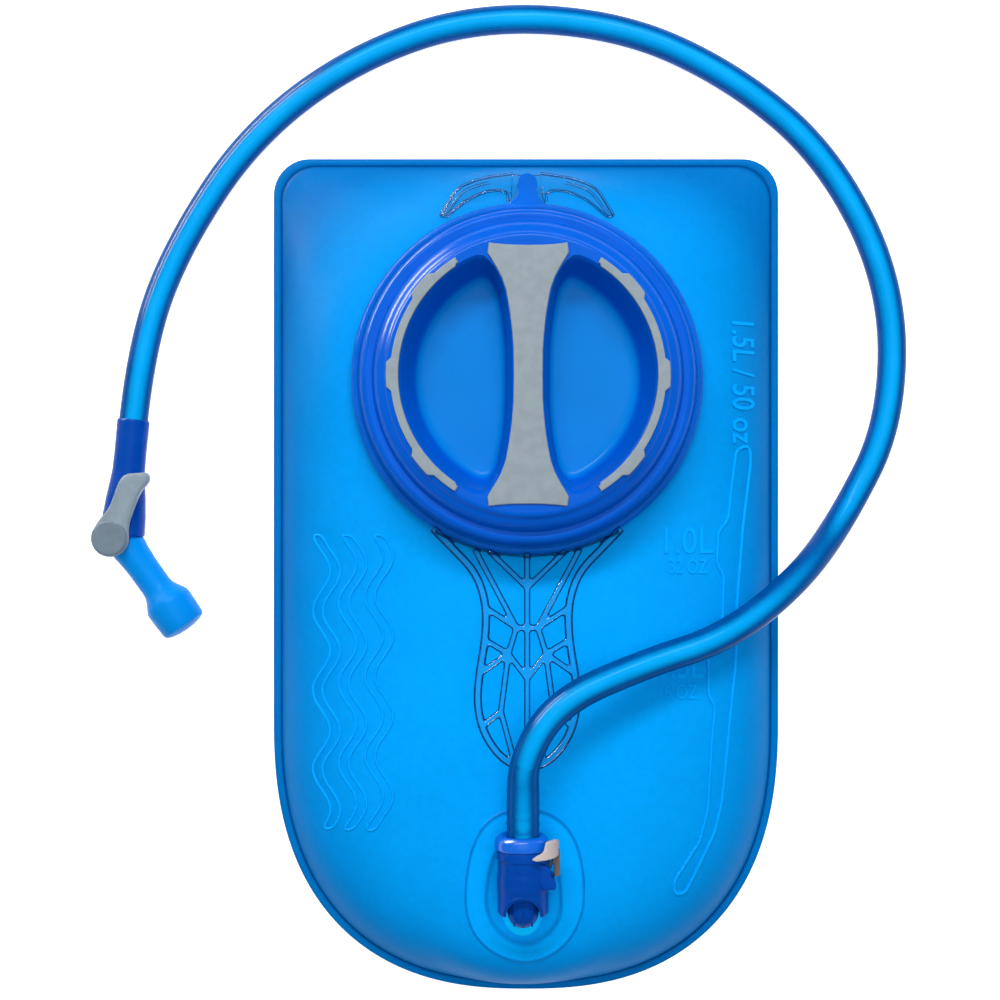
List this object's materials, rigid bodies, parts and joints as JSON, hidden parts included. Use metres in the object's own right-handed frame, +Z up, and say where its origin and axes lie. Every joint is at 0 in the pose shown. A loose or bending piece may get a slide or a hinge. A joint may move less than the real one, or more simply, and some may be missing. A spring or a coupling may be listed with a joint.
{
  "type": "hydration bladder",
  "caption": "Soft drinking-water reservoir with a wide screw cap, lattice handle, hang loop, quick-link drink tube, shut-off lever and bite valve.",
  "frame": {"origin": "centre of the bag's box at the level of the table it lies on", "axes": "+Z up from the table through the filling cap, +Y along the bag towards the hang loop, +X to the right seen from above"},
  "size_m": [0.2865, 0.3464, 0.0545],
  "materials": {
    "bag_film": "satin translucent polyurethane film",
    "rigid_blue": "glossy moulded",
    "deep_blue": "glossy moulded",
    "clear_blue": "clear flexible moulding",
    "grip_grey": "fine matt overmould",
    "seal_rubber": "smooth",
    "tube_blue": "clear blue soft tube",
    "bite_silicone": "soft translucent silicone",
    "steel": "brushed",
    "button_grey": "satin moulded"
  },
  "bodies": {
    "reservoir": {"front_film": "bag_film", "back_film": "bag_film", "port_neck": "rigid_blue", "clear_frame": "clear_blue", "exit_port": "rigid_blue", "port_retainer": "rigid_blue", "port_oring": "seal_rubber"},
    "tether": {"cap_tether": "rigid_blue"},
    "cap": {"cap_shell": "deep_blue", "cap_grip_bar": "grip_grey", "cap_grip_left": "grip_grey", "cap_grip_right": "grip_grey", "cap_oring": "seal_rubber"},
    "poppet_valve": {"poppet": "button_grey", "poppet_spring": "steel"},
    "hose": {"quick_link_socket": "deep_blue", "quick_link_collar": "rigid_blue", "drink_tube": "tube_blue", "valve_body": "deep_blue", "bite_valve": "bite_silicone"},
    "button": {"quick_link_button": "button_grey", "latch_plate": "steel", "button_spring": "steel"},
    "lever": {"shutoff_lever": "grip_grey", "valve_spool": "button_grey", "spool_seals": "seal_rubber", "lever_screw": "steel"}
  },
  "joints": [
    {"name": "cap_rise", "type": "slide", "parent": "reservoir", "child": "tether", "axis": [0, 0, 1], "range_m": [0, 0.036]},
    {"name": "cap_turn", "type": "hinge", "parent": "tether", "child": "cap", "pos_m": [0, 0.0665, 0.04], "axis": [0, 0, 1], "range_deg": [0, 720]},
    {"name": "quick_link_release", "type": "slide", "parent": "reservoir", "child": "hose", "axis": [0, 1, 0], "range_m": [0, 0.018]},
    {"name": "poppet_close", "type": "slide", "parent": "reservoir", "child": "poppet_valve", "axis": [0, 1, 0], "range_m": [0, 0.003], "deforming": ["poppet_spring"]},
    {"name": "button_press", "type": "slide", "parent": "hose", "child": "button", "axis": [-1, 0, 0], "range_m": [0, 0.001], "stiffness_N_per_m": 400, "deforming": ["button_spring"]},
    {"name": "shutoff_lever_turn", "type": "hinge", "parent": "hose", "child": "lever", "pos_m": [-0.1445, 0.0132, 0.0084], "axis": [0, 0, 1], "range_deg": [0, 90]}
  ],
  "couplings": [
    {"joint": "cap_rise", "follows": "cap_turn", "m_per_rad": 0.0028648},
    {"joint": "poppet_close", "follows": "quick_link_release", "ratio": 0.16667}
  ]
}
